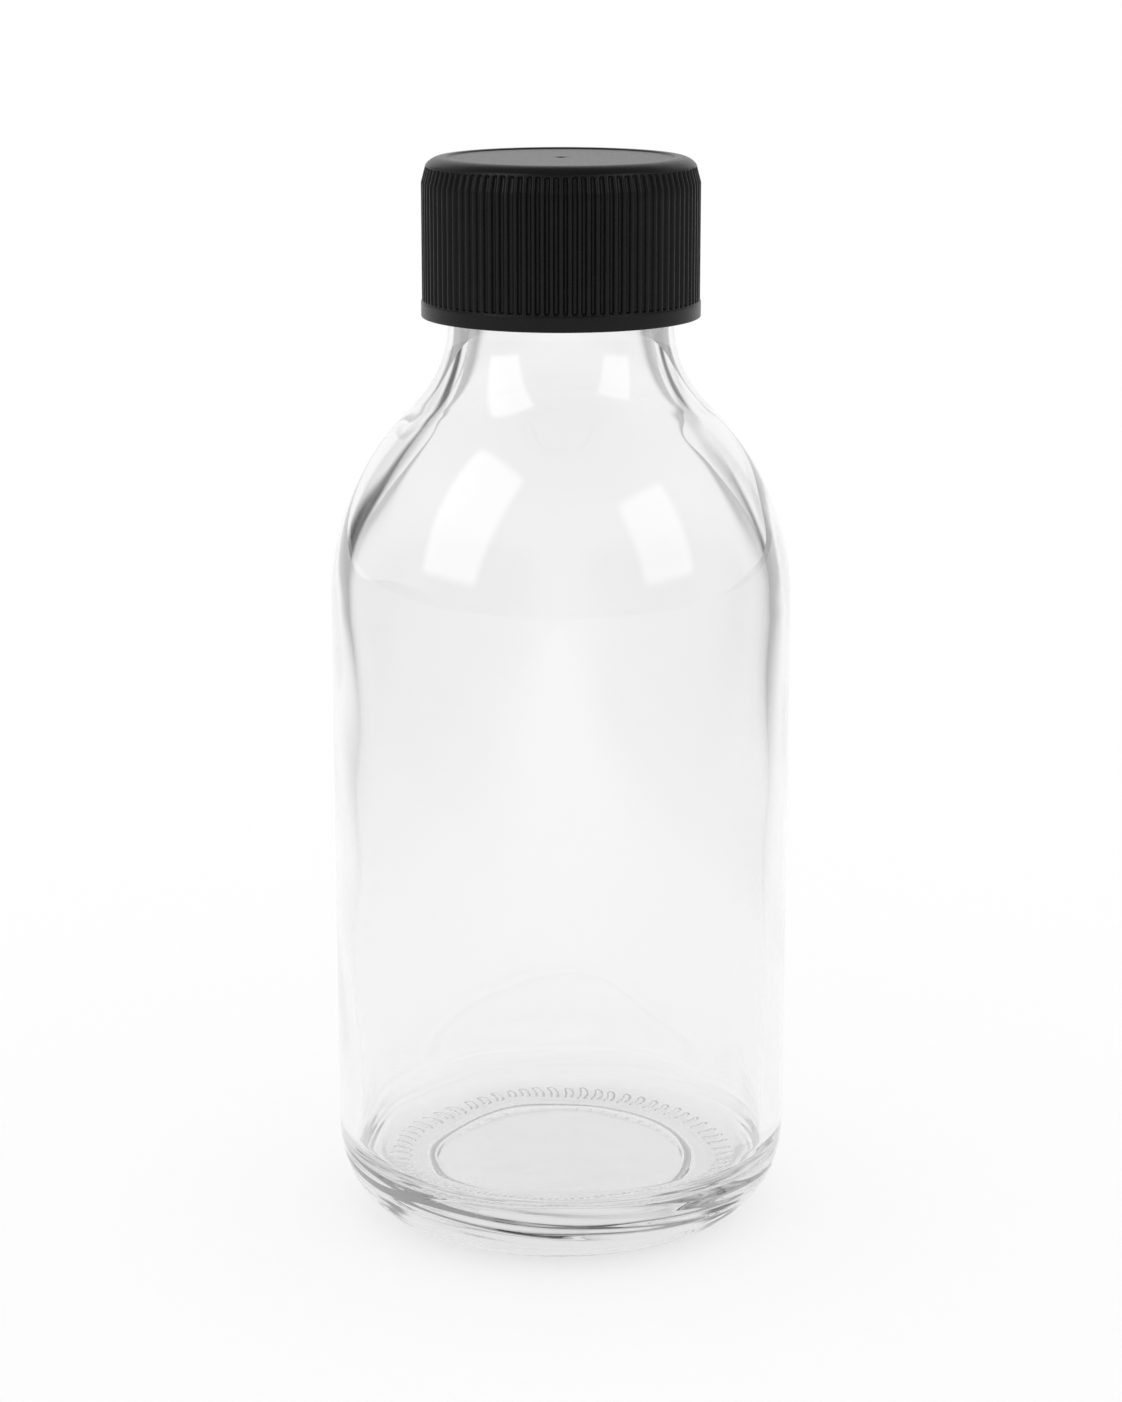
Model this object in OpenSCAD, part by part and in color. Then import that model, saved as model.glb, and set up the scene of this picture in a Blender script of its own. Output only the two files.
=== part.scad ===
// Small round clear-glass bottle with a ribbed plastic screw cap and a foam sealing disc.
// Units are millimetres. The bottle stands on z = 0 and its axis is the Z axis.
// The cap is drawn screwed fully home.

/* [Glass bottle] */
// Outside diameter of the straight body
body_d = 50.9; // [49:0.1:53]
// Height of the glass from the standing ring to the sealing rim
glass_h = 116.8; // [108:0.2:130]
// Thickness of the glass in the body, shoulder and neck
wall = 2.35; // [2:0.05:2.6]
// Outside diameter of the neck between its threads
neck_d = 24.6; // [24.2:0.1:25]
// Length of straight neck from the sealing rim down to the neck sweep
finish_h = 15.1; // [14.6:0.1:16]
// Radius of the rounded shoulder, on the outside
shoulder_r = 29.8; // [27:0.1:33]
// Radius of the hollow sweep from the shoulder to the neck, on the outside
sweep_r = 13.3; // [12:0.1:16]
// Rounding of the inner and outer edges of the sealing rim
lip_r = 0.85; // [0.5:0.05:1]

/* [Glass base] */
// Radius of the lower curve of the heel
heel_r = 8.8; // [7.5:0.1:10]
// Radius of the slower upper curve of the heel
heel_sweep_r = 19; // [15:0.5:25]
// Distance that the upper curve draws in before the lower one starts to turn
heel_draw = 0.25; // [0.1:0.05:0.5]
// Thickness of the glass floor above the standing ring, at the floor's edge
floor_t = 7.4; // [6.5:0.1:8.5]
// Rounding between the floor and the wall inside
floor_fillet_r = 3; // [2:0.1:4]
// Width of the flat ring between that rounding and the crowned middle of the floor
floor_ring_w = 1.1; // [0.6:0.1:2]
// Rise of the crowned middle above the flat ring
floor_crown = 0.6; // [0.3:0.1:1]
// Rise of the hollow under the base
push_up_h = 1.8; // [1.2:0.1:2.6]
// Width of the flat standing ring
standing_w = 1.3; // [0.8:0.1:2]
// Number of short radial grips around the heel
grip_count = 66; // [48:2:72]
// Distance from the standing ring out to the grips
grip_gap = 1; // [0.6:0.05:1.5]
// Radial length of one grip
grip_length = 2.7; // [2:0.1:3]
// Width of one grip
grip_w = 0.9; // [0.7:0.05:1]
// Depth of one grip
grip_depth = 0.35; // [0.2:0.05:0.5]

/* [Screw thread] */
// Rise of the thread in one turn of the cap
thread_pitch = 4.233; // [4:0.001:4.5]
// Height and half width of the round glass thread
bead_r = 1.2; // [1.1:0.05:1.25]
// Turns of thread on the glass
glass_turns = 1.5; // [1.25:0.25:1.75]
// Turns of thread inside the cap
cap_turns = 1.25; // [1:0.25:1.25]
// Distance from the sealing rim down to the top end of the glass thread
thread_drop = 3; // [2.8:0.1:3.2]
// Radial gap between each thread's crest and the wall that it runs past
thread_gap = 0.35; // [0.3:0.05:0.4]
// Gap between the cap thread's upper flank and the glass thread above it
flank_gap = 0.35; // [0.3:0.05:0.45]
// Width of the cap thread at its crest
cap_crest_w = 0.8; // [0.6:0.05:0.9]
// Width of the cap thread at its root inside the wall
cap_foot_w = 2; // [1.8:0.05:2.1]

/* [Screw cap] */
// Thickness of the cap's skirt at the foot of its ribs
skirt_t = 0.85; // [0.75:0.05:1.1]
// Height of the cap from its open edge to its rim
cap_h = 17.15; // [16.6:0.05:18]
// Number of grip ribs around the skirt
rib_count = 96; // [72:4:104]
// Height of the ribs above the skirt
rib_h = 0.4; // [0.3:0.05:0.45]
// Width of a rib at its foot
rib_foot_w = 0.52; // [0.46:0.02:0.6]
// Width of a rib at its crest
rib_crest_w = 0.4; // [0.3:0.02:0.46]
// Height of the plain band at the open edge
band_h = 1.7; // [1.2:0.1:2.4]
// Height of the tapered part of the cap's side below the rounded edge
taper_h = 1.9; // [1.5:0.05:2.4]
// Amount that the radius shrinks over the taper
taper_in = 0.5; // [0.3:0.05:0.6]
// Radius of the rounded top edge
cap_edge_r = 2.2; // [1.8:0.1:2.4]
// Height of the rounded top edge above the taper
edge_rise = 0.85; // [0.7:0.05:1]
// Height of the plain collar between the rib ends and the rounded edge
collar_h = 0.1; // [0.05:0.05:0.3]
// Width of the top's rounded rim, from the cap's side to the sunken panel
rim_w = 2.8; // [2.6:0.1:3.4]
// Depth of the flat panel below the rim
panel_drop = 0.15; // [0.1:0.05:0.35]
// Thickness of the plastic from the inside of the top to the rim
top_t = 1.3; // [1.1:0.05:1.6]
// Diameter of the moulding gate mark in the middle of the panel
gate_d = 1; // [0.6:0.1:1.4]

/* [Sealing disc] */
// Thickness of the foam disc
liner_t = 1.2; // [1:0.05:1.5]
// Radial gap between the foam disc and the cap's bore
liner_gap = 0.4; // [0.3:0.05:0.5]
// Overlap of the cap's retaining ring under the foam disc
ring_grip = 0.35; // [0.3:0.05:0.4]
// Height of the retaining ring
ring_h = 0.6; // [0.5:0.05:0.7]
// Gap between the foam disc and the retaining ring
ring_gap = 0.35; // [0.3:0.05:0.4]

/* [Hidden] */
$fn = 96;

// How far a helical thread is rooted in the wall that carries it
thread_root = 0.5;
// Flat steps in one turn of a helical thread, and in the round of the glass bead
turn_steps = 36;
bead_steps = 6;
// Steps of the large balls that shape the floor and the hollow below it
ball_steps = 480;
// Angle over which a thread fades out at each end, and the share of its size left there
fade_angle = 40;
thin_end = 0.02;
// Lead-in at the open edge of the cap's bore
lead_in = 0.4;
// Depth of the gate mark
gate_depth = 0.15;
// A tool that cuts a face runs past it by this much
past = 1;

body_r = body_d / 2;
neck_r = neck_d / 2;
standing_r = body_r - heel_r - heel_draw;
rim_z = glass_h;
neck_base_z = rim_z - finish_h;

// The shoulder's arc and the sweep's arc touch, which sets the height of the shoulder.
shoulder_x = body_r - shoulder_r;
sweep_x = neck_r + sweep_r;
shoulder_rise = sqrt(pow(shoulder_r + sweep_r, 2) - pow(sweep_x - shoulder_x, 2));
shoulder_z = neck_base_z - shoulder_rise;

// The heel's two arcs touch, which sets the height of the heel.
heel_x = body_r - heel_sweep_r;
heel_rise = sqrt(pow(heel_sweep_r - heel_r, 2) - pow(heel_sweep_r - heel_r - heel_draw, 2));
heel_z = heel_r + heel_rise;
heel_join = heel_r / (heel_sweep_r - heel_r);
heel_join_z = heel_r - heel_rise * heel_join;

// The crowned middle of the floor and the hollow under the base are parts of large balls.
room_r = body_r - wall;
crown_r = room_r - floor_fillet_r - floor_ring_w;
crown_ball_r = (pow(crown_r, 2) + pow(floor_crown, 2)) / (2 * floor_crown);
hollow_r = standing_r - standing_w;
hollow_ball_r = (pow(hollow_r, 2) + pow(push_up_h, 2)) / (2 * push_up_h);
grip_r = standing_r + grip_gap + grip_length / 2;

glass_thread_z = rim_z - thread_drop - glass_turns * thread_pitch;
cap_bore_r = neck_r + bead_r + thread_gap;
cap_thread_r = neck_r + thread_gap;
// The foot of the glass bead, the gap and half the cap thread, measured along the axis
flank_drop = sqrt(pow(bead_r, 2) - pow(thread_gap, 2)) + flank_gap + cap_crest_w / 2;
cap_thread_angle = -90;
cap_thread_z = glass_thread_z - flank_drop + thread_pitch * cap_thread_angle / 360;

liner_r = cap_bore_r - liner_gap;
ring_r = liner_r - ring_grip;
ring_z = rim_z - ring_gap - ring_h;
cap_top_z = rim_z + liner_t + top_t;
cap_base_z = cap_top_z - cap_h;
cap_r = cap_bore_r + skirt_t + rib_h;
panel_r = cap_r - rim_w;
edge_low_z = cap_top_z - edge_rise;
rib_top_z = edge_low_z - collar_h;

glass_bottle();
screw_cap();
cap_liner();

// A flat slab of an outline, from the axis out to x, between two heights. Its corners are given in
// full, so that slabs stacked on each other share their edge exactly.
module slab(x, z_low, z_high) {
    polygon([[0, z_low], [x, z_low], [x, z_high], [0, z_high]]);
}

// The part of a round outline that lies between two heights, right of the axis.
module round_slab(x, z, r, z_low, z_high) {
    intersection() {
        translate([x, z])
            circle(r);
        slab(x + r + past, z_low, z_high);
    }
}

// The outline from the body up to z_top, set inward by a wall thickness.
module upper_outline(inset, z_low, z_top) {
    reach = (shoulder_r - inset) / (shoulder_r + sweep_r);
    join_x = shoulder_x + (sweep_x - shoulder_x) * reach;
    join_z = shoulder_z + shoulder_rise * reach;
    slab(body_r - inset, z_low, shoulder_z);
    round_slab(shoulder_x, shoulder_z, shoulder_r - inset, shoulder_z, join_z);
    difference() {
        slab(join_x, join_z, neck_base_z);
        translate([sweep_x, neck_base_z])
            circle(sweep_r + inset);
    }
    slab(neck_r - inset, neck_base_z, z_top);
}

// The heel: one curve off the standing ring, then a slower one up to the body.
module heel_outline() {
    slab(standing_r, 0, heel_join_z);
    round_slab(standing_r, heel_r, heel_r, 0, heel_join_z);
    round_slab(heel_x, heel_z, heel_sweep_r, heel_join_z, heel_z);
}

// The room inside, open past the rim.
module room_outline() {
    difference() {
        slab(room_r - floor_fillet_r, floor_t, floor_t + floor_fillet_r);
        translate([0, floor_t + floor_crown - crown_ball_r])
            circle(crown_ball_r, $fn = ball_steps);
    }
    round_slab(room_r - floor_fillet_r, floor_t + floor_fillet_r, floor_fillet_r,
        floor_t, floor_t + floor_fillet_r);
    upper_outline(wall, floor_t + floor_fillet_r, rim_z + past);
}

// One edge of the sealing rim, as the corner that its rounding takes away.
module lip_corner() {
    difference() {
        translate([-lip_r, -lip_r])
            square([lip_r + past, lip_r + past]);
        translate([-lip_r, -lip_r])
            circle(lip_r);
    }
}

module glass_outline() {
    difference() {
        union() {
            heel_outline();
            upper_outline(0, heel_z, rim_z);
        }
        room_outline();
        translate([0, push_up_h - hollow_ball_r])
            circle(hollow_ball_r, $fn = ball_steps);
        translate([neck_r, rim_z])
            lip_corner();
        translate([neck_r - wall, rim_z])
            mirror([1, 0])
                lip_corner();
    }
}

// A ring of short radial slots with round ends, seen from above.
module grip_slots() {
    for (i = [0 : grip_count - 1])
        rotate(i * 360 / grip_count)
            translate([grip_r, 0]) {
                square([grip_length - grip_w, grip_w], center = true);
                for (side = [-1, 1])
                    translate([side * (grip_length - grip_w) / 2, 0])
                        circle(d = grip_w);
            }
}

// The skin of the heel that the grips are sunk into.
module grip_skin() {
    rotate_extrude()
        difference() {
            slab(body_r, -past, heel_r);
            translate([standing_r, heel_r])
                circle(heel_r - grip_depth);
        }
}

// A right-hand helical ridge on a round wall. Each point of its section is [height off the wall,
// place along the axis], and out is 1 on an outside wall and -1 on an inside one. A point below
// the wall roots the ridge and keeps its depth, while the rest fades to nothing at both ends.
module helix(section, wall_r, out, turns) {
    steps = turns * turn_steps;
    fade_steps = fade_angle / 360 * turn_steps;
    count = len(section);
    points = [
        for (i = [0 : steps])
            let (angle = i * 360 / turn_steps, lift = thread_pitch * i / turn_steps)
                let (size = max(thin_end, min(1, i / fade_steps, (steps - i) / fade_steps)))
                    for (p = section)
                        let (r = wall_r + out * (p[0] < 0 ? p[0] : p[0] * size))
                            [r * cos(angle), r * sin(angle), p[1] * size + lift]
    ];
    sides = [
        for (i = [0 : steps - 1], j = [0 : count - 1])
            let (a = i * count + j, b = i * count + (j + 1) % count)
                each [[a, b, b + count], [a, b + count, a + count]]
    ];
    first = [for (j = [count - 1 : -1 : 0]) j];
    last = [for (j = [0 : count - 1]) steps * count + j];
    polyhedron(points, concat([first], sides, [last]), convexity = 4);
}

module glass_thread() {
    section = [
        [-thread_root, bead_r],
        [-thread_root, -bead_r],
        for (i = [0.5 : bead_steps - 0.5])
            let (a = -90 + 180 * i / bead_steps)
                [bead_r * cos(a), bead_r * sin(a)]
    ];
    translate([0, 0, glass_thread_z])
        helix(section, neck_r, 1, glass_turns);
}

module cap_thread() {
    section = [
        [-thread_root, -cap_foot_w / 2],
        [-thread_root, cap_foot_w / 2],
        [cap_bore_r - cap_thread_r, cap_crest_w / 2],
        [cap_bore_r - cap_thread_r, -cap_crest_w / 2]
    ];
    translate([0, 0, cap_thread_z])
        rotate(cap_thread_angle)
            helix(section, cap_bore_r, -1, cap_turns);
}

module glass_bottle() {
    color([0.85, 0.93, 0.92, 0.45]) {
        difference() {
            rotate_extrude()
                glass_outline();
            intersection() {
                grip_skin();
                translate([0, 0, -past])
                    linear_extrude(heel_r)
                        grip_slots();
            }
        }
        glass_thread();
    }
}

// The side of the cap over its ribs, set inward by a depth, up to the rounded edge.
module skirt_outline(inset) {
    polygon([
        [0, cap_base_z],
        [cap_r - inset, cap_base_z],
        [cap_r - inset, edge_low_z - taper_h],
        [cap_r - inset - taper_in, edge_low_z],
        [0, edge_low_z]
    ]);
}

// The whole outside of the cap: its side, and a rounded edge around a sunken flat panel.
module cap_outline() {
    edge_z = cap_top_z - cap_edge_r;
    edge_x = cap_r - taper_in - sqrt(pow(cap_edge_r, 2) - pow(edge_low_z - edge_z, 2));
    difference() {
        union() {
            skirt_outline(0);
            slab(edge_x, edge_low_z, cap_top_z);
            round_slab(edge_x, edge_z, cap_edge_r, edge_low_z, cap_top_z);
        }
        slab(panel_r, cap_top_z - panel_drop, cap_top_z + past);
        slab(gate_d / 2, cap_top_z - panel_drop - gate_depth, cap_top_z + past);
    }
}

// The room inside the cap, with the ring that keeps the foam disc in.
module cap_room() {
    slab(cap_bore_r, cap_base_z - past, ring_z);
    slab(ring_r, ring_z - past, rim_z);
    slab(cap_bore_r, ring_z + ring_h, rim_z + liner_t);
    polygon([
        [0, cap_base_z - past],
        [cap_bore_r + lead_in + past, cap_base_z - past],
        [cap_bore_r, cap_base_z + lead_in],
        [0, cap_base_z + lead_in]
    ]);
}

// One rib seen from above, drawn from inside the skirt to past its crest.
module rib_section() {
    lean = (rib_foot_w - rib_crest_w) / 2 / rib_h;
    inner_r = cap_r - taper_in - 2 * rib_h;
    outer_r = cap_r + past;
    inner_half = rib_crest_w / 2 + lean * (cap_r - inner_r);
    outer_half = max(rib_crest_w / 2 - lean * (outer_r - cap_r), thin_end);
    polygon([
        [inner_r, -inner_half],
        [outer_r, -outer_half],
        [outer_r, outer_half],
        [inner_r, inner_half]
    ]);
}

// The grooves between the ribs, which follow the taper and end below the rounded edge.
module grooves() {
    intersection() {
        rotate_extrude()
            difference() {
                slab(cap_r + past / 2, cap_base_z + band_h, rib_top_z);
                skirt_outline(rib_h);
            }
        translate([0, 0, cap_base_z])
            linear_extrude(cap_h)
                difference() {
                    circle(cap_r + past);
                    for (i = [0 : rib_count - 1])
                        rotate(i * 360 / rib_count)
                            rib_section();
                }
    }
}

module screw_cap() {
    color([0.08, 0.08, 0.09]) {
        difference() {
            rotate_extrude()
                cap_outline();
            grooves();
            rotate_extrude()
                cap_room();
        }
        cap_thread();
    }
}

module cap_liner() {
    color([0.93, 0.93, 0.9])
        translate([0, 0, rim_z])
            cylinder(r = liner_r, h = liner_t);
}
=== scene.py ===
"""Looks for a small round clear-glass bottle with a ribbed black screw cap and a foam seal.

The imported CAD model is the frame. Each piece is one turned mesh that stands for its CAD node: the
glass with its thread, base grips and moulding waves, the cap with its ribs and thread, and the
sealing disc. Sizes are in metres, in the frame of the CAD model.
"""

import math

import bpy
import numpy as np
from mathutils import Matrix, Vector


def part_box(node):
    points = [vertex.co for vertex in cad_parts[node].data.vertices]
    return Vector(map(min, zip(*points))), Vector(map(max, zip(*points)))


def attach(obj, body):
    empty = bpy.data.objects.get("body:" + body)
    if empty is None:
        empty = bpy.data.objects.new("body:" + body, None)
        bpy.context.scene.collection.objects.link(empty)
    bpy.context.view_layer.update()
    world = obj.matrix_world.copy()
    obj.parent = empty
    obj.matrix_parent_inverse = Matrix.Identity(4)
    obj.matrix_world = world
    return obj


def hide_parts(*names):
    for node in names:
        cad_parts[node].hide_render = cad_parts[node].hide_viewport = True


MM = 0.001
TURN = 2 * math.pi
# Points closer than this are one point
SAME_POINT = 1e-7
# Stands in for 0 where a number is divided by
NOT_ZERO = 1e-9

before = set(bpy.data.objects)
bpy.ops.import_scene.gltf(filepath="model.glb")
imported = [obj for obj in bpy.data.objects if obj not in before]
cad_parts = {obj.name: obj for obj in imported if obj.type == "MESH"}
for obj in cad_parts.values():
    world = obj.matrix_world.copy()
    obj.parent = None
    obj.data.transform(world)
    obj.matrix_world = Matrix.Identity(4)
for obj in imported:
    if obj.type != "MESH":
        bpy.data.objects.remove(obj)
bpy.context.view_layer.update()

# ---------------------------------------------------------------- sizes shared with the CAD model
GLASS_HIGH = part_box("glass_bottle")[1]
CAP_LOW, CAP_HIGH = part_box("screw_cap")
LINER_LOW, LINER_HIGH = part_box("cap_liner")

BODY_R = GLASS_HIGH.x
RIM_Z = GLASS_HIGH.z
WALL = 2.35 * MM
NECK_R = 12.3 * MM
NECK_H = 15.1 * MM
NECK_BASE_Z = RIM_Z - NECK_H
SHOULDER_R = 29.8 * MM
SWEEP_R = 13.3 * MM
LIP_R = 0.85 * MM
LIP_Z = RIM_Z - LIP_R

HEEL_R = 8.8 * MM
HEEL_SWEEP_R = 19 * MM
HEEL_DRAW = 0.25 * MM
HEEL_SPAN = HEEL_SWEEP_R - HEEL_R
BODY_LOW_Z = HEEL_R + math.sqrt(HEEL_SPAN**2 - (HEEL_SPAN - HEEL_DRAW) ** 2)
STANDING_R = BODY_R - HEEL_R - HEEL_DRAW
STANDING_W = 1.3 * MM
FLOOR_Z = 7.4 * MM
FLOOR_FILLET_R = 3 * MM
FLOOR_RING_W = 1.1 * MM
FLOOR_CROWN = 0.6 * MM
PUSH_UP_H = 1.8 * MM

GRIP_COUNT = 66
GRIP_GAP = 1 * MM
GRIP_LENGTH = 2.7 * MM
GRIP_W = 0.9 * MM
GRIP_R = STANDING_R + GRIP_GAP + GRIP_LENGTH / 2

THREAD_PITCH = 4.233 * MM
BEAD_R = 1.2 * MM
GLASS_TURNS = 1.5
CAP_TURNS = 1.25
THREAD_DROP = 3 * MM
THREAD_GAP = 0.35 * MM
FADE_ANGLE = math.radians(40)
GLASS_THREAD_Z = RIM_Z - THREAD_DROP - GLASS_TURNS * THREAD_PITCH

CAP_R = CAP_HIGH.x
CAP_TOP_Z = CAP_HIGH.z
CAP_BASE_Z = CAP_LOW.z
CAP_BORE_R = NECK_R + BEAD_R + THREAD_GAP
CAP_LEAD_IN = 0.4 * MM
CAP_THREAD_H = CAP_BORE_R - NECK_R - THREAD_GAP
CAP_THREAD_CREST = 0.8 * MM
CAP_THREAD_FOOT = 1.68 * MM
CAP_THREAD_ANGLE = -math.pi / 2
FLANK_DROP = math.sqrt(BEAD_R**2 - THREAD_GAP**2) + THREAD_GAP + CAP_THREAD_CREST / 2
CAP_THREAD_Z = GLASS_THREAD_Z - FLANK_DROP + THREAD_PITCH * CAP_THREAD_ANGLE / TURN

RIB_COUNT = 96
RIB_H = 0.4 * MM
BAND_H = 1.7 * MM
TAPER_H = 1.9 * MM
TAPER_IN = 0.5 * MM
EDGE_RISE = 0.85 * MM
COLLAR_H = 0.1 * MM
CAP_EDGE_R = 2.2 * MM
CAP_BORDER_W = 2.8 * MM
PANEL_R = CAP_R - CAP_BORDER_W
PANEL_DROP = 0.15 * MM
GATE_R = 0.5 * MM
GATE_DEPTH = 0.15 * MM
EDGE_LOW_Z = CAP_TOP_Z - EDGE_RISE
RIB_TOP_Z = EDGE_LOW_Z - COLLAR_H
RIB_LOW_Z = CAP_BASE_Z + BAND_H

LINER_R = LINER_HIGH.x
RING_REACH = 0.35 * MM
RING_DROP = 0.95 * MM
RING_H = 0.6 * MM
RING_R = LINER_R - RING_REACH
RING_Z = RIM_Z - RING_DROP

# -------------------------------------------------------------- sizes of the looks, not in the CAD
# The higher this is, the flatter is the top of the hollow and the crisper its edge
HOLLOW_POWER = 30
# Rounds of smoothing that even out the inside of shoulder and neck
INSIDE_EASE = 14

GRIP_DEPTH = 0.7 * MM
GRIP_SIZE_SPREAD = 0.14
GRIP_TURN_SPREAD = 0.05
GRIP_SWIRL = 0.16
GRIP_ROUNDNESS = 4

# Moulding waves of the glass. Each has its periods around, its periods over the bottle's height and
# its shift. The chill ripples, which the cold mould left in the heel, lie within its outline.
CHILL_DEPTH = 0.045 * MM
CHILL_LOW_Z = 0.4 * MM
CHILL_HIGH_Z = 18 * MM
CHILL_FADE = 8 * MM
CHILL_WAVES = ((3, 47, 0.3), (5, 71, 2.6), (7, 93, 4.0), (11, 58, 5.5))
WALL_WAVE_DEPTH = 0.16 * MM
WALL_WAVE_FADE = 20 * MM
WALL_WAVE_R = 16 * MM
WALL_WAVES = ((2, 1.1, 0.4), (3, 2.3, 2.1), (5, 3.1, 4.4), (7, 5.2, 1.3))
FLOOR_WAVE_DEPTH = 0.10 * MM
FLOOR_WAVE_DENSITY = 3
FLOOR_WAVE_R = 14 * MM
FLOOR_WAVES = ((2, 1.5, 1.0), (3, 2.6, 3.7), (4, 4.2, 5.1))

BAND_OUT = 0.1 * MM
BAND_R = CAP_R + BAND_OUT
CAP_CORNER = 0.12 * MM
GATE_FLOOR_R = GATE_R * 0.8
PANEL_STEP_Z = CAP_TOP_Z - PANEL_DROP + PANEL_DROP * 0.7
MOUTH_LAND_W = 0.1 * MM

# Shares of half a rib's pitch that its tip and its flank take
RIB_TIP = 0.18
RIB_FLANK = 0.62
RIB_TOP_FADE = 0.30 * MM
RIB_LOW_FADE = 0.22 * MM
RIB_SIZE_SPREAD = 0.10
RIB_SHIFT_SPREAD = 0.035
RIB_END_SPREAD = 0.04 * MM

DISC_EDGE_R = 0.22 * MM
PRESS_R = NECK_R - WALL / 2
PRESS_W = WALL / 2
PRESS_DEPTH = 0.05 * MM
PRESS_SPREAD = 0.2
PRESS_WAVES = 3

# Grid steps around each piece: whole numbers for each grip and rib
GLASS_STEPS = GRIP_COUNT * 16
CAP_STEPS = RIB_COUNT * 12
LINER_STEPS = 192


# ---------------------------------------------------------------------------- outlines and meshes
def arc(x, z, r, start, end, steps):
    """Points on an arc, from one angle to another in degrees."""
    angles = np.radians(np.linspace(start, end, steps + 1))
    return np.stack([x + r * np.cos(angles), z + r * np.sin(angles)], 1)


def line(a, b, steps):
    """Points along a straight line between two (radius, height) points."""
    t = np.linspace(0, 1, steps + 1)[:, None]
    return np.array(a) * (1 - t) + np.array(b) * t


def lines(start, *stops):
    """Straight lines from one point over stops, each with its (radius, height) and its steps."""
    parts = []
    for stop, steps in stops:
        parts.append(line(start, stop, steps))
        start = stop
    return np.concatenate(parts)


def outline(*parts):
    """One outline from several stretches, with no point twice."""
    points = np.concatenate(parts)
    step = np.hypot(*np.diff(points, axis=0).T)
    return points[np.r_[True, step > SAME_POINT]]


def eased(points, passes):
    """An outline whose jumps in curvature are evened out, as blown glass has none."""
    points = points.copy()
    for _ in range(passes):
        points[1:-1] += (points[:-2] - 2 * points[1:-1] + points[2:]) / 4
    return points


def smooth(t):
    """A soft step from 0 to 1."""
    t = np.clip(t, 0, 1)
    return t * t * (3 - 2 * t)


def turned_grid(points, steps):
    """The angles around a turned piece, and its radii and heights: a row for each point of its
    outline and a column for each angle."""
    angles = np.arange(steps) * TURN / steps
    radii = np.repeat(points[:, :1], steps, 1)
    heights = np.repeat(points[:, 1:], steps, 1)
    return angles, radii, heights


def turned_mesh(name, radii, heights):
    """A closed turned mesh from such a grid. The outline starts and ends on the axis."""
    count, steps = radii.shape
    angles = np.arange(steps) * TURN / steps
    rings = np.stack([radii * np.cos(angles), radii * np.sin(angles), heights], 2)[1:-1]
    poles = [[0, 0, float(heights[0].mean())], [0, 0, float(heights[-1].mean())]]
    vertices = np.concatenate([rings.reshape(-1, 3), poles])

    row = np.arange(count - 3)[:, None] * steps
    here = np.arange(steps)[None, :]
    after = (here + 1) % steps
    sides = np.stack([row + here, row + after, row + steps + after, row + steps + here], 2)
    last = (count - 3) * steps
    low_pole, high_pole = len(vertices) - 2, len(vertices) - 1
    low_fan = [[low_pole, (i + 1) % steps, i] for i in range(steps)]
    high_fan = [[high_pole, last + i, last + (i + 1) % steps] for i in range(steps)]

    mesh = bpy.data.meshes.new(name)
    faces = sides.reshape(-1, 4).tolist() + low_fan + high_fan
    mesh.from_pydata(vertices.tolist(), [], faces)
    mesh.polygons.foreach_set("use_smooth", [True] * len(faces))
    mesh.update()
    piece = bpy.data.objects.new(name, mesh)
    bpy.context.scene.collection.objects.link(piece)
    return piece


def helix_lift(angles, z, start_z, start_angle, turns, section):
    """How far a helical ridge stands off its wall at each height and angle. section gives the
    height of the ridge from the distance to its middle and the share of its size left there."""
    lift = np.zeros((len(z), len(angles)))
    for turn in range(-1, math.ceil(turns) + 1):
        along = (angles - start_angle) % TURN + TURN * turn
        size = smooth(np.minimum(along, turns * TURN - along) / FADE_ANGLE)
        middle = start_z + THREAD_PITCH * along / TURN
        ridge = section(np.abs(z[:, None] - middle[None, :]), size[None, :])
        lift = np.maximum(lift, np.where(size[None, :] > 0, ridge, 0))
    return lift


# ----------------------------------------------------------------------------------- glass bottle
def upper_outline(inset):
    """The outline from the straight body up over the shoulder and the sweep to the lip, set inward
    by a wall thickness."""
    shoulder_x = BODY_R - SHOULDER_R
    sweep_x = NECK_R + SWEEP_R
    rise = math.sqrt((SHOULDER_R + SWEEP_R) ** 2 - (sweep_x - shoulder_x) ** 2)
    shoulder_z = NECK_BASE_Z - rise
    lean = math.degrees(math.atan2(rise, sweep_x - shoulder_x))
    return outline(
        line((BODY_R - inset, BODY_LOW_Z), (BODY_R - inset, shoulder_z), 26),
        arc(shoulder_x, shoulder_z, SHOULDER_R - inset, 0, lean, 44),
        arc(sweep_x, NECK_BASE_Z, SWEEP_R + inset, 180 + lean, 180, 26),
        line((NECK_R - inset, NECK_BASE_Z), (NECK_R - inset, LIP_Z), 72),
    )


def heel_outline():
    """The hollow under the base, the standing ring and the two curves of the heel."""
    hollow_r = STANDING_R - STANDING_W
    across = hollow_r * np.sin(np.radians(np.linspace(0, 90, 40)))
    hollow = np.stack([across, PUSH_UP_H * (1 - (across / hollow_r) ** HOLLOW_POWER)], 1)
    lean = math.degrees(math.acos((HEEL_SPAN - HEEL_DRAW) / HEEL_SPAN))
    return outline(
        hollow,
        line((hollow_r, 0), (STANDING_R, 0), 6),
        arc(STANDING_R, HEEL_R, HEEL_R, -90, -lean, 64),
        arc(BODY_R - HEEL_SWEEP_R, BODY_LOW_Z, HEEL_SWEEP_R, -lean, 0, 12),
    )


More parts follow.
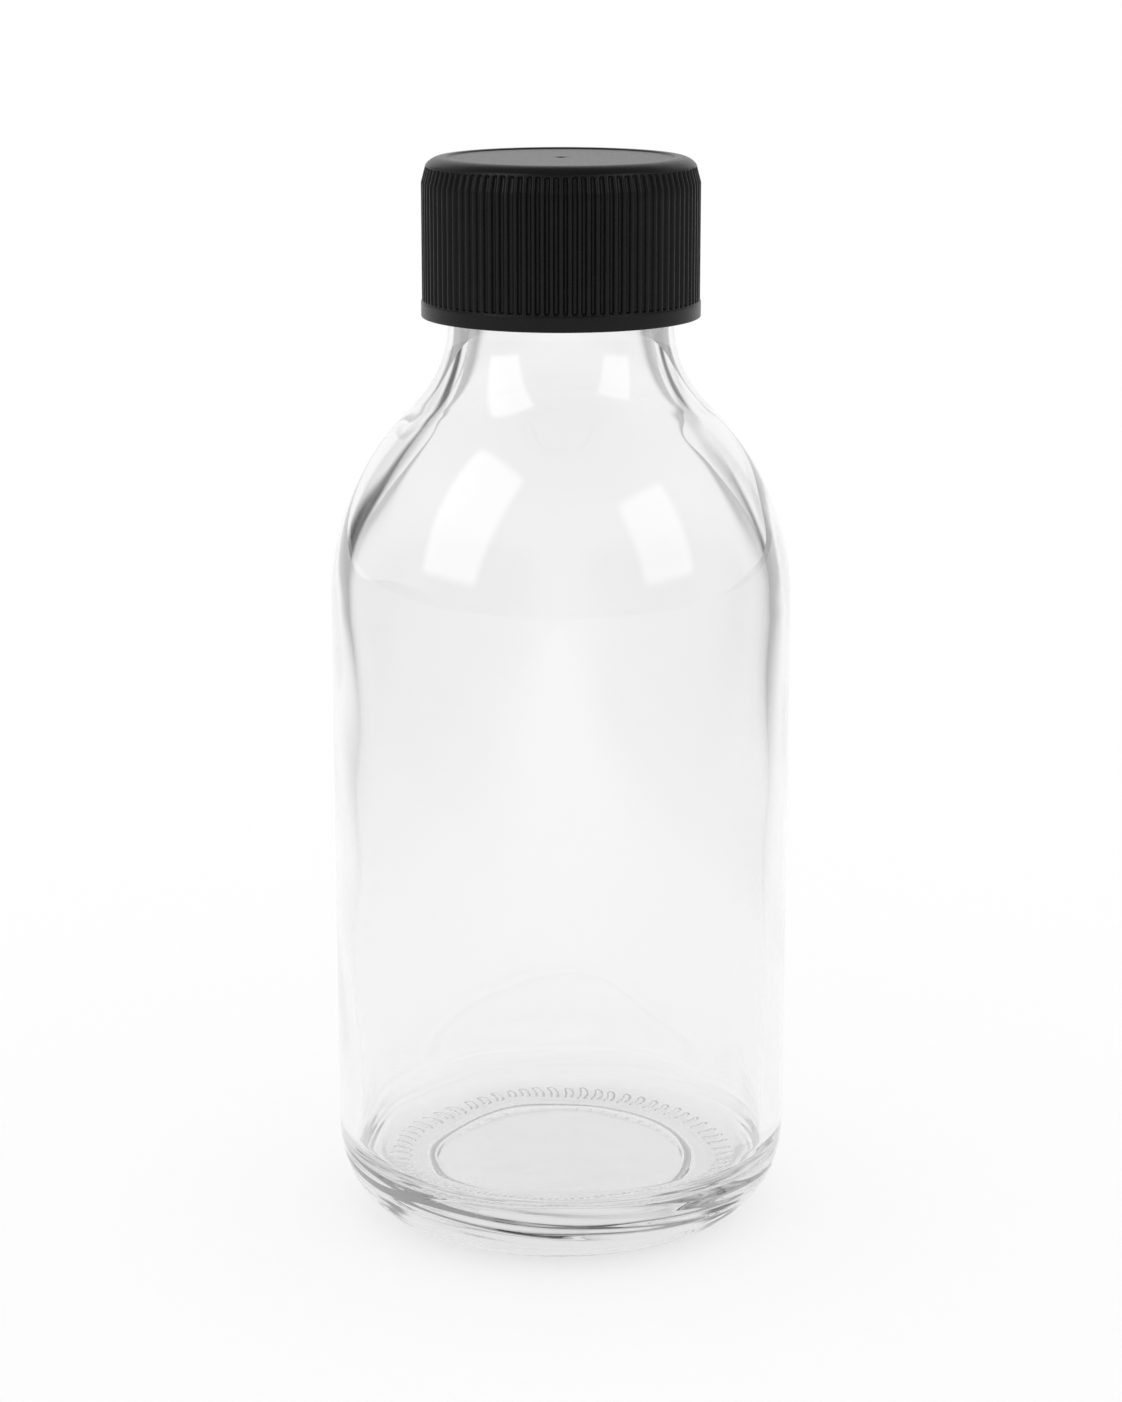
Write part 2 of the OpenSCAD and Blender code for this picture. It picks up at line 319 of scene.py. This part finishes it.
def room_outline():
    """The inside, from the neck down to the middle of the floor."""
    room_r = BODY_R - WALL
    flat_r = room_r - FLOOR_FILLET_R
    crown_r = flat_r - FLOOR_RING_W
    ball_r = (crown_r**2 + FLOOR_CROWN**2) / (2 * FLOOR_CROWN)
    reach = math.degrees(math.asin(crown_r / ball_r))
    return outline(
        eased(upper_outline(WALL)[::-1], INSIDE_EASE),
        line((room_r, BODY_LOW_Z), (room_r, FLOOR_Z + FLOOR_FILLET_R), 3),
        arc(flat_r, FLOOR_Z + FLOOR_FILLET_R, FLOOR_FILLET_R, 0, -90, 16),
        line((flat_r, FLOOR_Z), (crown_r, FLOOR_Z), 3),
        arc(0, FLOOR_Z + FLOOR_CROWN - ball_r, ball_r, 90 - reach, 90, 24),
    )


def sealing_rim():
    """The rounded outer and inner edges of the rim and the flat between them."""
    return outline(
        arc(NECK_R - LIP_R, LIP_Z, LIP_R, 0, 90, 8),
        arc(NECK_R - WALL + LIP_R, LIP_Z, LIP_R, 90, 180, 8),
    )


def glass_thread(angles, z):
    """How far the round bead of the thread stands off the neck at each point."""

    def bead(away, size):
        share = away / np.maximum(BEAD_R * size, NOT_ZERO)
        return BEAD_R * size * np.sqrt(np.clip(1 - share**2, 0, 1))

    return helix_lift(angles, z, GLASS_THREAD_Z, 0, GLASS_TURNS, bead)


def grip_depths(angles, r):
    """How deep the short radial grips are sunk into the heel at each point: rounded, a little
    swirled, and each a little different."""
    random = np.random.default_rng(3)
    size = 1 + random.uniform(-GRIP_SIZE_SPREAD, GRIP_SIZE_SPREAD, GRIP_COUNT)
    turn = random.uniform(-GRIP_TURN_SPREAD, GRIP_TURN_SPREAD, GRIP_COUNT)
    pitch = TURN / GRIP_COUNT
    index = np.round(angles / pitch)
    one = index.astype(int) % GRIP_COUNT
    outward = (r[:, None] - GRIP_R) / GRIP_LENGTH * 2
    swirl = pitch * (GRIP_SWIRL * outward**2 + turn[one] * (1 + outward))
    across = np.abs(angles[None, :] - index[None, :] * pitch - swirl) * r[:, None]
    along = np.abs(r[:, None] - GRIP_R) - (GRIP_LENGTH * size[one] - GRIP_W) / 2
    away = np.hypot(across, np.maximum(along, 0)) / (GRIP_W / 2)
    return GRIP_DEPTH * size[one] * np.sqrt(np.clip(1 - away**GRIP_ROUNDNESS, 0, 1))


def moulding_waves(angles, z, depth, waves):
    """The slow unevenness of moulded glass: a few waves around and along the wall."""
    total = np.zeros((len(z), len(angles)))
    for around, along, shift in waves:
        total += np.sin(around * angles[None, :] + TURN * along * z[:, None] / RIM_Z + shift)
    return depth * total / len(waves)


def glass_bottle():
    """The glass, with its thread, its grips and the unevenness of its outside and inside."""
    rim, room = sealing_rim(), room_outline()
    points = outline(heel_outline(), upper_outline(0), rim, room)
    r, z = points.T
    angles, radii, heights = turned_grid(points, GLASS_STEPS)
    index = np.arange(len(points))
    outside = index < len(points) - len(room) - len(rim)
    inside = index >= len(points) - len(room)

    neck = outside & (z > NECK_BASE_Z)
    radii += glass_thread(angles, z) * neck[:, None]

    sunk = outside & (r > STANDING_R) & (z < HEEL_R / 2)
    depth = grip_depths(angles, r) * sunk[:, None]
    slope = np.clip((r - STANDING_R) / HEEL_R, 0, 1)[:, None]
    radii -= depth * slope
    heights += depth * np.sqrt(1 - slope**2)

    fade = smooth((CHILL_HIGH_Z - z) / CHILL_FADE) * (outside & (z > CHILL_LOW_Z))
    chill = moulding_waves(angles, z, CHILL_DEPTH, CHILL_WAVES)
    radii += (chill - CHILL_DEPTH) * fade[:, None]

    fade = smooth((NECK_BASE_Z - z) / WALL_WAVE_FADE) * inside * smooth(r / WALL_WAVE_R)
    radii += moulding_waves(angles, z, WALL_WAVE_DEPTH, WALL_WAVES) * fade[:, None]
    floor = inside & (z < FLOOR_Z + FLOOR_FILLET_R)
    ripple = moulding_waves(angles, r * FLOOR_WAVE_DENSITY, FLOOR_WAVE_DEPTH, FLOOR_WAVES)
    heights += ripple * (floor * smooth(r / FLOOR_WAVE_R))[:, None]
    return turned_mesh("bottle_glass", radii, heights)


# -------------------------------------------------------------------------------------- screw cap
def cap_outside():
    """From the middle of the top out over the panel and the rounded rim, and down to the mouth."""
    panel_z = CAP_TOP_Z - PANEL_DROP
    gate_z = panel_z - GATE_DEPTH
    edge_z = CAP_TOP_Z - CAP_EDGE_R
    edge_lean = math.degrees(math.asin((EDGE_LOW_Z - edge_z) / CAP_EDGE_R))
    edge_x = CAP_R - TAPER_IN - CAP_EDGE_R * math.cos(math.radians(edge_lean))
    top = lines(
        (0, gate_z),
        ((GATE_FLOOR_R, gate_z), 3),
        ((GATE_R, panel_z), 2),
        ((PANEL_R - CAP_CORNER, panel_z), 14),
        ((PANEL_R, PANEL_STEP_Z), 3),
        ((PANEL_R + CAP_CORNER, CAP_TOP_Z), 2),
        ((edge_x, CAP_TOP_Z), 3),
    )
    skirt = lines(
        (CAP_R - TAPER_IN, EDGE_LOW_Z),
        ((CAP_R, EDGE_LOW_Z - TAPER_H), 22),
        ((CAP_R, RIB_LOW_Z + 4 * CAP_CORNER), 10),
        ((CAP_R, RIB_LOW_Z), 14),
    )
    return outline(
        top,
        arc(edge_x, edge_z, CAP_EDGE_R, 90, edge_lean, 18),
        skirt,
        arc(CAP_R, RIB_LOW_Z - BAND_OUT, BAND_OUT, 90, 0, 4),
        line((BAND_R, RIB_LOW_Z - BAND_OUT), (BAND_R, CAP_BASE_Z + CAP_CORNER), 5),
        arc(BAND_R - CAP_CORNER, CAP_BASE_Z + CAP_CORNER, CAP_CORNER, 0, -90, 4),
    )


def cap_inside():
    """From the mouth up the bore, over the retaining ring and the disc's seat, to the middle."""
    mouth_r = CAP_BORE_R + CAP_LEAD_IN
    seat_z = LINER_HIGH.z
    return lines(
        (mouth_r + MOUTH_LAND_W, CAP_BASE_Z),
        ((mouth_r, CAP_BASE_Z), 1),
        ((CAP_BORE_R, CAP_BASE_Z + CAP_LEAD_IN), 3),
        ((CAP_BORE_R, RING_Z), 100),
        ((RING_R, RING_Z), 3),
        ((RING_R, RING_Z + RING_H), 4),
        ((CAP_BORE_R, RING_Z + RING_H), 3),
        ((CAP_BORE_R, seat_z), 4),
        ((0, seat_z), 10),
    )


def rib_grooves(angles, z):
    """The depth of the grooves between the ribs: rounded ribs, each a little different."""
    random = np.random.default_rng(7)
    size = 1 + random.uniform(-RIB_SIZE_SPREAD, RIB_SIZE_SPREAD, RIB_COUNT)
    shift = random.uniform(-RIB_SHIFT_SPREAD, RIB_SHIFT_SPREAD, RIB_COUNT)
    end = random.uniform(-RIB_END_SPREAD, RIB_END_SPREAD, RIB_COUNT)
    phase = angles / TURN * RIB_COUNT
    index = np.round(phase).astype(int) % RIB_COUNT
    away = np.abs(phase - np.round(phase) + shift[index]) * 2
    share = smooth((away / size[index] - RIB_TIP) / RIB_FLANK)
    top = smooth((RIB_TOP_Z + end[index][None, :] - z[:, None]) / RIB_TOP_FADE)
    low = smooth((z[:, None] - RIB_LOW_Z - COLLAR_H / 2) / RIB_LOW_FADE)
    return RIB_H * share[None, :] * np.minimum(top, low)


def cap_thread(angles, z):
    """How far the thread of the cap stands off its bore at each point."""
    slant = (CAP_THREAD_FOOT - CAP_THREAD_CREST) / 2

    def section(away, size):
        flank = (CAP_THREAD_FOOT / 2 * size - away) / np.maximum(slant * size, NOT_ZERO)
        return CAP_THREAD_H * size * smooth(flank)

    return helix_lift(angles, z, CAP_THREAD_Z, CAP_THREAD_ANGLE, CAP_TURNS, section)


def screw_cap():
    """The cap, with its ribs outside and its thread inside."""
    outside = cap_outside()
    points = outline(outside, cap_inside())
    r, z = points.T
    angles, radii, heights = turned_grid(points, CAP_STEPS)
    index = np.arange(len(points))

    side = (index < len(outside)) & (z < EDGE_LOW_Z) & (r > PANEL_R)
    radii -= rib_grooves(angles, z) * side[:, None]

    bore = (index >= len(outside)) & (np.abs(r - CAP_BORE_R) < SAME_POINT) & (z < RING_Z)
    radii -= cap_thread(angles, z) * bore[:, None]
    return turned_mesh("cap_shell", radii[::-1], heights[::-1])


# ----------------------------------------------------------------------------------- sealing disc
def sealing_disc():
    """The foam disc, with the mark that the rim of the glass pressed into its underside."""
    low, high = LINER_LOW.z, LINER_HIGH.z
    flat_r = LINER_R - DISC_EDGE_R
    points = outline(
        line((0, low), (flat_r, low), 12),
        arc(flat_r, low + DISC_EDGE_R, DISC_EDGE_R, -90, 0, 5),
        arc(flat_r, high - DISC_EDGE_R, DISC_EDGE_R, 0, 90, 5),
        line((flat_r, high), (0, high), 12),
    )
    r, z = points.T
    angles, radii, heights = turned_grid(points, LINER_STEPS)
    pressed = np.exp(-(((r - PRESS_R) / PRESS_W) ** 2)) * (z < low + DISC_EDGE_R / 2)
    uneven = 1 + PRESS_SPREAD * np.sin(PRESS_WAVES * angles)
    heights += (PRESS_DEPTH * pressed)[:, None] * uneven
    return turned_mesh("foam_seal", radii, heights)


# ---------------------------------------------------------------------------------- node helpers
def new_material(name):
    """A node material with its Principled shader and an object-space coordinate."""
    material = bpy.data.materials.new(name)
    material.use_nodes = True
    tree = material.node_tree
    shader = tree.nodes["Principled BSDF"]
    place = tree.nodes.new("ShaderNodeTexCoord").outputs["Object"]
    return material, tree, shader, place


def connect(tree, value, socket):
    """Gives a socket a plain number or another node's output."""
    if isinstance(value, (int, float)):
        socket.default_value = value
    else:
        tree.links.new(value, socket)


def math_node(tree, operation, a, b=0.0):
    """The result of one operation on one or two values."""
    node = tree.nodes.new("ShaderNodeMath")
    node.operation = operation
    for socket, value in zip(node.inputs, (a, b)):
        connect(tree, value, socket)
    return node.outputs["Value"]


def remap(tree, value, low, high, new_low, new_high):
    """A value moved smoothly from one range to another."""
    node = tree.nodes.new("ShaderNodeMapRange")
    node.interpolation_type = "SMOOTHSTEP"
    names = ("From Min", "From Max", "To Min", "To Max")
    for name, number in zip(names, (low, high, new_low, new_high)):
        node.inputs[name].default_value = number
    tree.links.new(value, node.inputs["Value"])
    return node.outputs["Result"]


def choose(tree, mask, without, with_it):
    """One value where the mask is 0 and another where it is 1."""
    node = tree.nodes.new("ShaderNodeMix")
    tree.links.new(mask, node.inputs["Factor"])
    connect(tree, without, node.inputs["A"])
    connect(tree, with_it, node.inputs["B"])
    return node.outputs["Result"]


def choose_shader(tree, mask, without, with_it):
    """One shader where the mask is 0 and another where it is 1."""
    node = tree.nodes.new("ShaderNodeMixShader")
    tree.links.new(mask, node.inputs["Fac"])
    tree.links.new(without, node.inputs[1])
    tree.links.new(with_it, node.inputs[2])
    return node.outputs["Shader"]


def two_colours(tree, share, first, second):
    """A colour between two, by a share from 0 to 1."""
    node = tree.nodes.new("ShaderNodeMix")
    node.data_type = "RGBA"
    node.inputs["A"].default_value = first
    node.inputs["B"].default_value = second
    tree.links.new(share, node.inputs["Factor"])
    return node.outputs["Result"]


def split_axes(tree, place):
    """The X, Y and Z of a place, by name."""
    node = tree.nodes.new("ShaderNodeSeparateXYZ")
    tree.links.new(place, node.inputs["Vector"])
    return node.outputs


def noise(tree, place, scale, detail=2.0, stretch=(1, 1, 1)):
    """Noise in object space, with features about 1 / scale metres across."""
    mapping = tree.nodes.new("ShaderNodeMapping")
    mapping.inputs["Scale"].default_value = stretch
    texture = tree.nodes.new("ShaderNodeTexNoise")
    texture.inputs["Scale"].default_value = scale
    texture.inputs["Detail"].default_value = detail
    tree.links.new(place, mapping.inputs["Vector"])
    tree.links.new(mapping.outputs["Vector"], texture.inputs["Vector"])
    return texture.outputs["Fac"]


def bump(tree, height, distance, strength, under=None):
    """A surface direction bent by a height, over another bump where there is one."""
    node = tree.nodes.new("ShaderNodeBump")
    node.inputs["Distance"].default_value = distance
    node.inputs["Strength"].default_value = strength
    tree.links.new(height, node.inputs["Height"])
    if under is not None:
        tree.links.new(under, node.inputs["Normal"])
    return node.outputs["Normal"]


# --------------------------------------------------------------------------------------- materials
# Light that has bounced about inside the glass more often than this leaves it straight on
TRAPPED_DEPTH = 4.5
# What a lamp keeps through one surface, on the sides and where the glass meets the floor
GLASS_TINT = 0.97
# The lower share at the foot is a painted shadow where the heel stands on the floor
FOOT_SHADOW_TINT = 0.86
FOOT_LOW_Z = 0.2 * MM
FOOT_HIGH_Z = 5 * MM


def trapped_light(tree, path):
    """1 for light that has bounced about inside the glass and 0 for other light."""
    return math_node(tree, "GREATER_THAN", path.outputs["Ray Depth"], TRAPPED_DEPTH)


def glass_material():
    """Clear moulded glass. Lamps pass it lightly tinted, so that its shadow stays pale."""
    material, tree, shader, place = new_material("clear_moulded_glass")
    output = tree.nodes["Material Output"]
    shader.inputs["Base Color"].default_value = (0.985, 0.986, 0.985, 1)
    shader.inputs["Transmission Weight"].default_value = 1.0
    shader.inputs["IOR"].default_value = 1.52
    scuffs = noise(tree, place, scale=900, detail=4, stretch=(1, 1, 0.35))
    tree.links.new(remap(tree, scuffs, 0.60, 0.80, 0.0, 0.035), shader.inputs["Roughness"])
    waves = noise(tree, place, scale=70, detail=1.5, stretch=(1, 1, 0.45))
    tree.links.new(bump(tree, waves, 0.35 * MM, 0.35), shader.inputs["Normal"])

    path = tree.nodes.new("ShaderNodeLightPath")
    shadow, diffuse = path.outputs["Is Shadow Ray"], path.outputs["Is Diffuse Ray"]
    straight_on = math_node(tree, "MAXIMUM", shadow, diffuse)
    straight_on = math_node(tree, "MAXIMUM", straight_on, trapped_light(tree, path))
    clear = tree.nodes.new("ShaderNodeBsdfTransparent")
    # Painted shadow: near the floor lamps keep less light through the glass, so the floor darkens
    # where the heel stands
    height = split_axes(tree, place)["Z"]
    tint = remap(tree, height, FOOT_LOW_Z, FOOT_HIGH_Z, FOOT_SHADOW_TINT, GLASS_TINT)
    tree.links.new(tint, clear.inputs["Color"])
    glass = choose_shader(tree, straight_on, shader.outputs["BSDF"], clear.outputs["BSDF"])
    tree.links.new(glass, output.inputs["Surface"])

    body = tree.nodes.new("ShaderNodeVolumeAbsorption")
    body.inputs["Color"].default_value = (0.5, 0.505, 0.5, 1)
    body.inputs["Density"].default_value = 9.0
    tree.links.new(body.outputs["Volume"], output.inputs["Volume"])
    return material


def plastic_material():
    """Black moulded plastic with a fine satin grain over a slow unevenness."""
    material, tree, shader, place = new_material("black_moulded_plastic")
    shader.inputs["Specular IOR Level"].default_value = 0.175
    mottle = noise(tree, place, scale=420, detail=3)
    black, soot = (0.0030, 0.0030, 0.0032, 1), (0.0066, 0.0066, 0.0068, 1)
    tree.links.new(two_colours(tree, mottle, black, soot), shader.inputs["Base Color"])
    grain = noise(tree, place, scale=5200, detail=3)
    tree.links.new(remap(tree, grain, 0.3, 0.7, 0.27, 0.37), shader.inputs["Roughness"])
    fine = bump(tree, grain, 0.03 * MM, 0.45)
    slow = noise(tree, place, scale=240, detail=1)
    tree.links.new(bump(tree, slow, 0.2 * MM, 0.25, fine), shader.inputs["Normal"])
    return material


def foam_material():
    """White closed-cell foam with a smooth skin over fine cells, with painted shade at the cell
    edges.
    """
    material, tree, shader, place = new_material("white_cell_foam")
    voronoi = tree.nodes.new("ShaderNodeTexVoronoi")
    voronoi.inputs["Scale"].default_value = 3200
    tree.links.new(place, voronoi.inputs["Vector"])
    cells = voronoi.outputs["Distance"]
    # Painted shade: the colour darkens towards the edges of the cells
    pale, shaded = (0.88, 0.88, 0.85, 1), (0.80, 0.80, 0.77, 1)
    tree.links.new(two_colours(tree, cells, pale, shaded), shader.inputs["Base Color"])
    skin = noise(tree, place, scale=900)
    tree.links.new(remap(tree, skin, 0.3, 0.7, 0.5, 0.7), shader.inputs["Roughness"])
    tree.links.new(bump(tree, cells, 0.08 * MM, 0.5), shader.inputs["Normal"])
    return material


# ------------------------------------------------------------------------------------------- floor
FLOOR_HALF = 10.0
# How bright the floor shows by itself, in plain view and through the glass
FLOOR_GLOW = 0.2
UNDER_GLASS_GLOW = 0.175
# Through the glass a lit strip of floor shows. Its edges meet this far in front of the bottle,
# below the photograph's camera. It widens by a share of the distance, fades and loses light.
STRIP_START = 0.361
STRIP_SPREAD = 0.175
STRIP_FADE = 0.16
STRIP_LOSS = 0.60


def beside_strip(tree, place):
    """The share of light that the floor has lost beside its lit strip, at each place."""
    axes = split_axes(tree, place)
    along = math_node(tree, "ADD", axes["Y"], STRIP_START)
    half_strip = math_node(tree, "MULTIPLY", along, STRIP_SPREAD)
    off = math_node(tree, "SUBTRACT", math_node(tree, "ABSOLUTE", axes["X"]), half_strip)
    return remap(tree, off, 0.0, STRIP_FADE, 0.0, STRIP_LOSS)


def floor_material():
    """A white sweep that shows as plain white, and keeps the object's shadow."""
    material, tree, shader, place = new_material("white_sweep")
    tree.nodes.remove(shader)
    path = tree.nodes.new("ShaderNodeLightPath")
    through_glass = path.outputs["Is Transmission Ray"]
    camera, glossy = path.outputs["Is Camera Ray"], path.outputs["Is Glossy Ray"]
    seen = math_node(tree, "MULTIPLY", math_node(tree, "MAXIMUM", camera, glossy), FLOOR_GLOW)
    glow = tree.nodes.new("ShaderNodeEmission")
    strength = choose(tree, through_glass, seen, UNDER_GLASS_GLOW)
    tree.links.new(strength, glow.inputs["Strength"])
    white = tree.nodes.new("ShaderNodeBsdfDiffuse")
    white.inputs["Color"].default_value = (0.8, 0.8, 0.8, 1)
    lit = tree.nodes.new("ShaderNodeAddShader")
    tree.links.new(white.outputs["BSDF"], lit.inputs[0])
    tree.links.new(glow.outputs["Emission"], lit.inputs[1])

    black = tree.nodes.new("ShaderNodeBsdfDiffuse")
    black.inputs["Color"].default_value = (0, 0, 0, 1)
    unlit = math_node(tree, "MULTIPLY", beside_strip(tree, place), through_glass)
    surface = choose_shader(tree, unlit, lit.outputs["Shader"], black.outputs["BSDF"])
    tree.links.new(surface, tree.nodes["Material Output"].inputs["Surface"])
    return material


def white_sweep():
    """The floor, deep enough to fill the view behind the object."""
    half = FLOOR_HALF
    mesh = bpy.data.meshes.new("white_sweep")
    corners = [(-half, -half, 0), (half, -half, 0), (half, half, 0), (-half, half, 0)]
    mesh.from_pydata(corners, [], [(0, 1, 2, 3)])
    floor = bpy.data.objects.new("white_sweep", mesh)
    bpy.context.scene.collection.objects.link(floor)
    mesh.materials.append(floor_material())


# ------------------------------------------------------------------------------------------- light
# (azimuth, elevation, half width, half height, soft edge, strength)
SOFTBOXES = (
    (-59, 35, 0.29, 0.45, 0.05, 2.5),
    (57, 28, 0.25, 0.31, 0.05, 2.1),
)
# Unlit gaps of the light tent: (azimuth, elevation, half width, half height, soft edge, depth)
TENT_GAPS = (
    (-141, 8, 0.10, 0.28, 0.06, 0.90),
    (137, 8, 0.07, 0.28, 0.05, 0.80),
)
# What shows through glass: the tent, with a darker ceiling and a darker side behind the camera
TENT_LEVEL = 0.97
TENT_CEILING = 0.55
FRONT_LEVEL = 0.42
# What gloss shows: a dimmer room, with a darker ceiling and a white wall behind the object
GLOSS_LEVEL = 0.50
CEILING_LEVEL = 0.26
BACK_LEVEL = 1.0
# Light that was trapped in the glass comes from all over the tent
TRAPPED_LEVEL = 0.48
TRAPPED_BACK = 0.95
TRAPPED_BOXES = 0.15
FILL_LEVEL = 1.0

UP = (0, 0, 1)
BACK = (0, 1, 0)
# A softbox or gap shows only where a direction lies this far or more ahead of the object
AHEAD_LOW, AHEAD_HIGH = 0.05, 0.10


def dot_with(tree, direction, vector):
    """How far a direction leans towards a fixed vector."""
    node = tree.nodes.new("ShaderNodeVectorMath")
    node.operation = "DOT_PRODUCT"
    tree.links.new(direction, node.inputs[0])
    node.inputs[1].default_value = vector
    return node.outputs["Value"]


def toward(tree, direction, vector, start, end, away_level=0.0, toward_level=1.0):
    """A level that changes as a direction leans more and more towards a fixed vector."""
    return remap(tree, dot_with(tree, direction, vector), start, end, away_level, toward_level)


def light_patch(tree, direction, azimuth, elevation, half_width, half_height, soft):
    """1 where a direction meets a softbox and 0 elsewhere. Azimuth is from -Y towards +X, in
    degrees, and the half sizes and the soft edge are tangents seen from the object."""
    a, e = math.radians(azimuth), math.radians(elevation)
    ahead = (math.sin(a) * math.cos(e), -math.cos(a) * math.cos(e), math.sin(e))
    right = (math.cos(a), math.sin(a), 0)
    up = (-math.sin(a) * math.sin(e), math.cos(a) * math.sin(e), math.cos(e))
    depth = dot_with(tree, direction, ahead)
    near = math_node(tree, "MAXIMUM", depth, AHEAD_LOW)
    mask = remap(tree, depth, AHEAD_LOW, AHEAD_HIGH, 0, 1)
    for axis, half in ((right, half_width), (up, half_height)):
        off = math_node(tree, "DIVIDE", dot_with(tree, direction, axis), near)
        off = math_node(tree, "ABSOLUTE", off)
        side = remap(tree, off, half - soft, half + soft, 1, 0)
        mask = math_node(tree, "MULTIPLY", mask, side)
    return mask


def softbox_light(tree, direction):
    """What the softboxes add in each direction."""
    total = 0.0
    for *shape, strength in SOFTBOXES:
        patch = light_patch(tree, direction, *shape)
        total = math_node(tree, "ADD", math_node(tree, "MULTIPLY", patch, strength), total)
    return total


def gap_shade(tree, direction):
    """What the unlit gaps of the tent leave in each direction."""
    total = 1.0
    for *shape, depth in TENT_GAPS:
        lost = math_node(tree, "MULTIPLY", light_patch(tree, direction, *shape), depth)
        total = math_node(tree, "MULTIPLY", total, math_node(tree, "SUBTRACT", 1.0, lost))
    return total


def light_through_glass(tree, direction, gaps):
    """What shows through the glass in each direction."""
    ceiling = toward(tree, direction, UP, 0.55, 0.95, 1.0, TENT_CEILING)
    front = toward(tree, direction, BACK, -0.45, 0.05, FRONT_LEVEL, 1.0)
    light = math_node(tree, "MULTIPLY", math_node(tree, "MULTIPLY", gaps, ceiling), TENT_LEVEL)
    return math_node(tree, "MULTIPLY", light, front)


def light_in_gloss(tree, direction, boxes, gaps, trapped):
    """What gloss shows in each direction, and what light that was trapped in the glass meets."""
    high = toward(tree, direction, UP, 0.45, 0.85)
    behind = toward(tree, direction, BACK, 0.50, 0.95)
    front = choose(tree, high, GLOSS_LEVEL, CEILING_LEVEL)
    room = choose(tree, behind, front, BACK_LEVEL)
    gloss = math_node(tree, "ADD", boxes, math_node(tree, "MULTIPLY", room, gaps))
    around = choose(tree, behind, TRAPPED_LEVEL, TRAPPED_BACK)
    lost = math_node(tree, "MULTIPLY", around, gaps)
    lost = math_node(tree, "ADD", lost, math_node(tree, "MULTIPLY", boxes, TRAPPED_BOXES))
    return choose(tree, trapped, gloss, lost)


def light_tent():
    """A white tent with two softboxes. What glass and gloss see of it depends on its direction."""
    world = bpy.data.worlds.new("light_tent")
    world.use_nodes = True
    bpy.context.scene.world = world
    tree = world.node_tree
    direction = tree.nodes.new("ShaderNodeTexCoord").outputs["Generated"]
    path = tree.nodes.new("ShaderNodeLightPath")
    boxes, gaps = softbox_light(tree, direction), gap_shade(tree, direction)
    through = light_through_glass(tree, direction, gaps)
    gloss = light_in_gloss(tree, direction, boxes, gaps, trapped_light(tree, path))

    # A ray that has gone through glass counts as glossy too, so the later choice wins
    level = choose(tree, path.outputs["Is Glossy Ray"], FILL_LEVEL, gloss)
    level = choose(tree, path.outputs["Is Transmission Ray"], level, through)
    level = choose(tree, path.outputs["Is Camera Ray"], level, 1.0)
    background = tree.nodes["Background"]
    background.inputs["Color"].default_value = (1, 1, 1, 1)
    tree.links.new(level, background.inputs["Strength"])


# ------------------------------------------------------------------------------ camera and render
CAMERA_DISTANCE = 0.3612
CAMERA_HEIGHT = 0.1470
CAMERA_PITCH = 13.70
CAMERA_LENS = 85.33


def photo_camera():
    """The photograph's viewpoint: low over the bottle, looking down at it with a long lens."""
    data = bpy.data.cameras.new("photo_camera")
    data.sensor_width = 36.0
    data.lens = CAMERA_LENS
    data.clip_end = 100.0
    camera = bpy.data.objects.new("photo_camera", data)
    camera.location = (0.0, -CAMERA_DISTANCE, CAMERA_HEIGHT)
    camera.rotation_euler = (math.radians(90 - CAMERA_PITCH), 0, 0)
    bpy.context.scene.collection.objects.link(camera)
    bpy.context.scene.camera = camera


def render_settings():
    """Plain colour, and enough bounces for two glass walls, a thick base and a thread."""
    scene = bpy.context.scene
    scene.view_settings.view_transform = "Standard"
    scene.cycles.max_bounces = 24
    scene.cycles.transmission_bounces = 24
    scene.cycles.glossy_bounces = 8
    scene.cycles.transparent_max_bounces = 24


# ----------------------------------------------------------------------------------------- the part
def dress(piece, material, node, body):
    """Gives a piece its material and its body, and hides the CAD node that it stands for."""
    piece.data.materials.append(material)
    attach(piece, body)
    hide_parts(node)


dress(glass_bottle(), glass_material(), "glass_bottle", "bottle")
dress(screw_cap(), plastic_material(), "screw_cap", "cap")
dress(sealing_disc(), foam_material(), "cap_liner", "liner")

white_sweep()
light_tent()
photo_camera()
render_settings()
